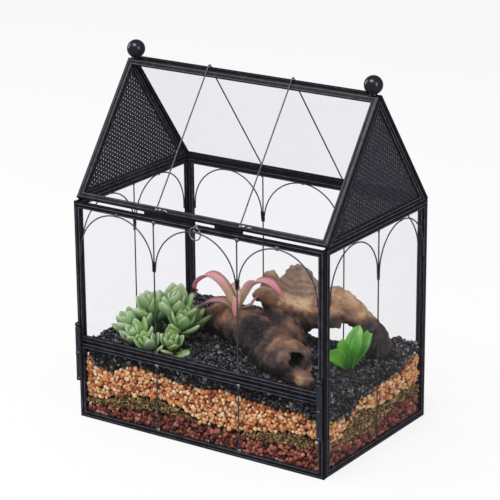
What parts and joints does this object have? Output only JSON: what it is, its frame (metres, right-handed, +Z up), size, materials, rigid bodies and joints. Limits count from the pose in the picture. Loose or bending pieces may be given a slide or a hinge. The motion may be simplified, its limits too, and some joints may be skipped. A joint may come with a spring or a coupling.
{
  "type": "gabled glass terrarium with lift-off door",
  "caption": "Gabled jumping spider enclosure of glass panes in black metal bars, with a lift-off front door on barrel pins, pull ring and planted layers.",
  "frame": {"origin": "centre of the bounding box's bottom, on the surface the case stands on", "axes": "+X to the right along the ridge, -Y towards the front door, +Z up"},
  "size_m": [0.2522, 0.1704, 0.3196],
  "materials": {
    "clear_glass": "gloss",
    "black_patina_metal": "satin",
    "black_gloss_metal": "gloss",
    "dark_wire": "satin",
    "black_vent_sheet": "satin",
    "dark_barrel_metal": "satin",
    "red_lava": "matte",
    "dry_moss": "matte",
    "orange_gravel": "matte",
    "black_soil": "matte",
    "driftwood": "matte",
    "succulent_leaf": "satin",
    "pink_leaf": "satin",
    "green_leaf": "satin"
  },
  "bodies": {
    "case": {"floor_frame": "black_patina_metal", "floor_glass": "clear_glass", "lower_front_frame": "black_patina_metal", "lower_front_glass": "clear_glass", "lower_front_wires": "dark_wire", "left_wall_frame": "black_patina_metal", "left_wall_glass": "clear_glass", "left_wall_wires": "dark_wire", "right_wall_frame": "black_patina_metal", "right_wall_glass": "clear_glass", "right_wall_wires": "dark_wire", "back_wall_frame": "black_patina_metal", "back_wall_glass": "clear_glass", "back_wall_wires": "dark_wire", "left_gable_frame": "black_patina_metal", "left_gable_mesh": "black_vent_sheet", "right_gable_frame": "black_patina_metal", "right_gable_mesh": "black_vent_sheet", "front_roof_frame": "black_patina_metal", "front_roof_glass": "clear_glass", "back_roof_frame": "black_patina_metal", "back_roof_glass": "clear_glass", "roof_wires": "dark_wire", "ridge_rod": "black_patina_metal", "left_finial": "black_gloss_metal", "right_finial": "black_gloss_metal", "left_socket": "dark_barrel_metal", "right_socket": "dark_barrel_metal", "lava_layer": "red_lava", "moss_layer": "dry_moss", "gravel_layer": "orange_gravel", "soil_layer": "black_soil", "driftwood": "driftwood", "succulent": "succulent_leaf", "bromeliad": "pink_leaf", "leaf_cluster": "green_leaf"},
    "front_door": {"door_frame": "black_patina_metal", "door_glass": "clear_glass", "door_wires": "dark_wire", "left_knuckle": "dark_barrel_metal", "right_knuckle": "dark_barrel_metal", "left_pin": "dark_barrel_metal", "right_pin": "dark_barrel_metal", "stop_strips": "black_patina_metal", "ring_eye": "dark_wire"},
    "ring": {"pull_ring": "dark_wire"}
  },
  "joints": [
    {"name": "door_lift", "type": "slide", "parent": "case", "child": "front_door", "axis": [0, 0, 1], "range_m": [0, 0.285]},
    {"name": "ring_swing", "type": "hinge", "parent": "front_door", "child": "ring", "pos_m": [0.002, -0.08185, 0.195], "axis": [-1, 0, 0], "range_deg": [0, 120]}
  ]
}
